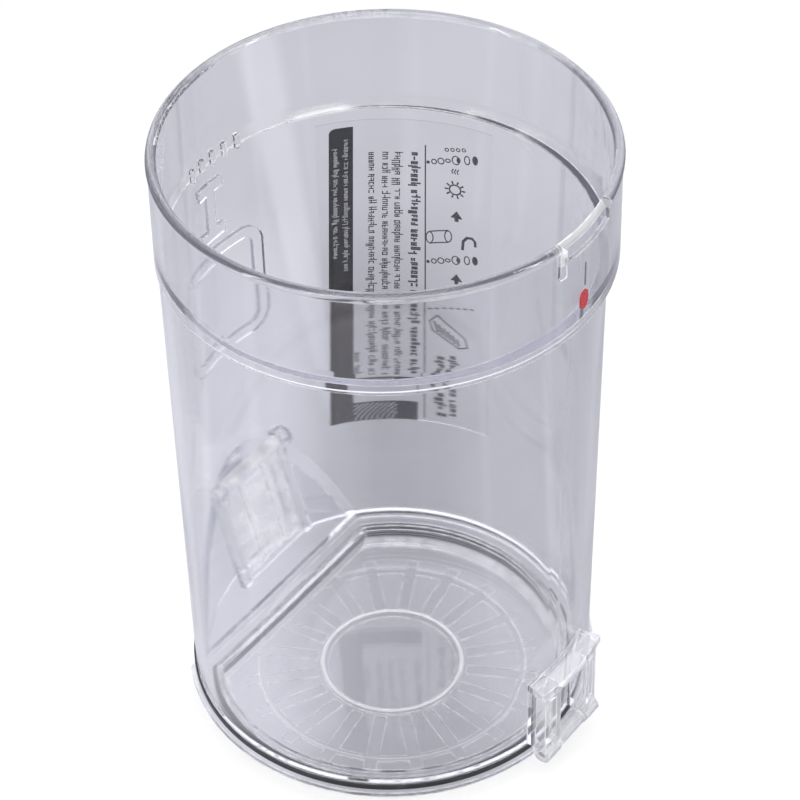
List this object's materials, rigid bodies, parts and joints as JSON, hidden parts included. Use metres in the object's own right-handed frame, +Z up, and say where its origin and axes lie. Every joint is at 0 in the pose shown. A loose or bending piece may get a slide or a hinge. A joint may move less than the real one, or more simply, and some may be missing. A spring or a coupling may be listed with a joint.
{
  "type": "vacuum dust bin",
  "caption": "Clear round dust bin of a stick vacuum, with a mouth collar, a slanted inlet with a check flap, and a D-shaped bottom lid that swings down to empty it.",
  "frame": {"origin": "on the tube's axis, at the height of the surface that the bottom lid rests on", "axes": "+Z up along the tube's axis to the open mouth; +X to the bottom lid's hinge; the inlet duct is on the -X side"},
  "size_m": [0.1121, 0.1108, 0.1718],
  "materials": {
    "clear_body": "clear, polished, faint grey-lavender tint",
    "clear_flap": "clear, polished",
    "clear_lid": "clear, polished",
    "seal_rubber": "dark grey, satin",
    "pin_steel": "drawn wire",
    "label_film": "clear film with dark print",
    "red_mark": "red pad print"
  },
  "bodies": {
    "cup": {"cup_body": "clear_body", "lid_hinge_pin": "pin_steel", "label": "label_film", "alignment_mark": "red_mark"},
    "flap": {"inlet_flap": "clear_flap"},
    "lid": {"bottom_lid": "clear_lid", "lid_seal": "seal_rubber"}
  },
  "joints": [
    {"name": "lid_hinge", "type": "hinge", "parent": "cup", "child": "lid", "pos_m": [0.0548, 0, 0.0084], "axis": [0, -1, 0], "range_deg": [0, 95]},
    {"name": "flap_hinge", "type": "hinge", "parent": "cup", "child": "flap", "pos_m": [-0.04593, 0, 0.04771], "axis": [0, -1, 0], "range_deg": [0, 60]}
  ]
}
